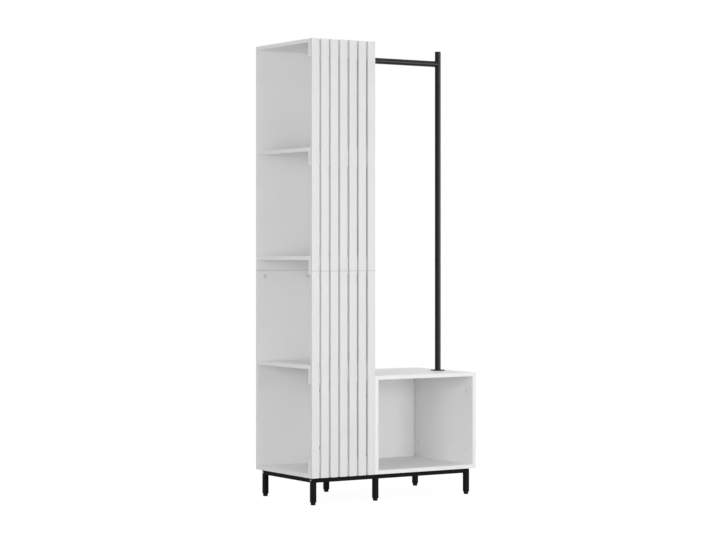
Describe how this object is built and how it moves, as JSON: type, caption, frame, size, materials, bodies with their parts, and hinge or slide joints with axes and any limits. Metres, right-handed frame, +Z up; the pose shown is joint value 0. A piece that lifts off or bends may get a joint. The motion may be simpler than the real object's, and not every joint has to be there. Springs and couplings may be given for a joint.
{
  "type": "hall tree",
  "caption": "Free-standing hall tree: slatted open shelf column, storage bench, clothes rail on a round post, and a steel base on levelling feet.",
  "frame": {"origin": "on the floor under the middle of the object's bounding box", "axes": "+X to the right as seen from the front, front faces -Y, +Z up"},
  "size_m": [0.8, 0.45, 1.866],
  "materials": {
    "white_board": "white melamine face, fine satin",
    "white_slat": "white melamine face, fine satin",
    "black_steel": "black powder coat, satin",
    "black_plastic": "moulded, fine matt",
    "grey_plastic": "moulded, fine matt",
    "zinc_steel": "zinc plated",
    "beech": "fluted, raw"
  },
  "bodies": {
    "cabinet": {"base_rail_back": "black_steel", "base_rail_front": "black_steel", "base_rail_left": "black_steel", "base_rail_middle": "black_steel", "base_rail_right": "black_steel", "bench_back": "white_board", "bench_bottom": "white_board", "bench_left": "white_board", "bench_right": "white_board", "bench_top": "white_board", "cam_fittings": "zinc_steel", "column_back_lower": "white_board", "column_back_upper": "white_board", "column_bottom": "white_board", "column_side_lower": "white_board", "column_side_upper": "white_board", "column_top": "white_board", "cross_rail_bottom": "white_board", "cross_rail_lower": "white_board", "cross_rail_middle": "white_board", "cross_rail_top": "white_board", "cross_rail_upper": "white_board", "hanging_rail": "black_steel", "hole_caps": "grey_plastic", "joining_bolts": "zinc_steel", "joint_dowels": "beech", "leg_back_left": "black_steel", "leg_back_middle": "black_steel", "leg_back_right": "black_steel", "leg_front_left": "black_steel", "leg_front_middle": "black_steel", "leg_front_right": "black_steel", "leg_inserts": "black_plastic", "post_cap": "black_plastic", "post_lower": "black_steel", "post_upper": "black_steel", "shelf_lower": "white_board", "shelf_middle": "white_board", "shelf_upper": "white_board", "slat_lower_1": "white_slat", "slat_lower_2": "white_slat", "slat_lower_3": "white_slat", "slat_lower_4": "white_slat", "slat_lower_5": "white_slat", "slat_lower_6": "white_slat", "slat_lower_7": "white_slat", "slat_upper_1": "white_slat", "slat_upper_2": "white_slat", "slat_upper_3": "white_slat", "slat_upper_4": "white_slat", "slat_upper_5": "white_slat", "slat_upper_6": "white_slat", "slat_upper_7": "white_slat", "wood_screws": "zinc_steel"},
    "foot_back_left": {"foot_back_left": "black_plastic"},
    "foot_back_middle": {"foot_back_middle": "black_plastic"},
    "foot_back_right": {"foot_back_right": "black_plastic"},
    "foot_front_left": {"foot_front_left": "black_plastic"},
    "foot_front_middle": {"foot_front_middle": "black_plastic"},
    "foot_front_right": {"foot_front_right": "black_plastic"}
  },
  "joints": [
    {"name": "foot_back_left_screw", "type": "slide", "parent": "cabinet", "child": "foot_back_left", "axis": [0, 0, -1], "range_m": [0, 0.01]},
    {"name": "foot_back_middle_screw", "type": "slide", "parent": "cabinet", "child": "foot_back_middle", "axis": [0, 0, -1], "range_m": [0, 0.01]},
    {"name": "foot_back_right_screw", "type": "slide", "parent": "cabinet", "child": "foot_back_right", "axis": [0, 0, -1], "range_m": [0, 0.01]},
    {"name": "foot_front_left_screw", "type": "slide", "parent": "cabinet", "child": "foot_front_left", "axis": [0, 0, -1], "range_m": [0, 0.01]},
    {"name": "foot_front_middle_screw", "type": "slide", "parent": "cabinet", "child": "foot_front_middle", "axis": [0, 0, -1], "range_m": [0, 0.01]},
    {"name": "foot_front_right_screw", "type": "slide", "parent": "cabinet", "child": "foot_front_right", "axis": [0, 0, -1], "range_m": [0, 0.01]}
  ]
}
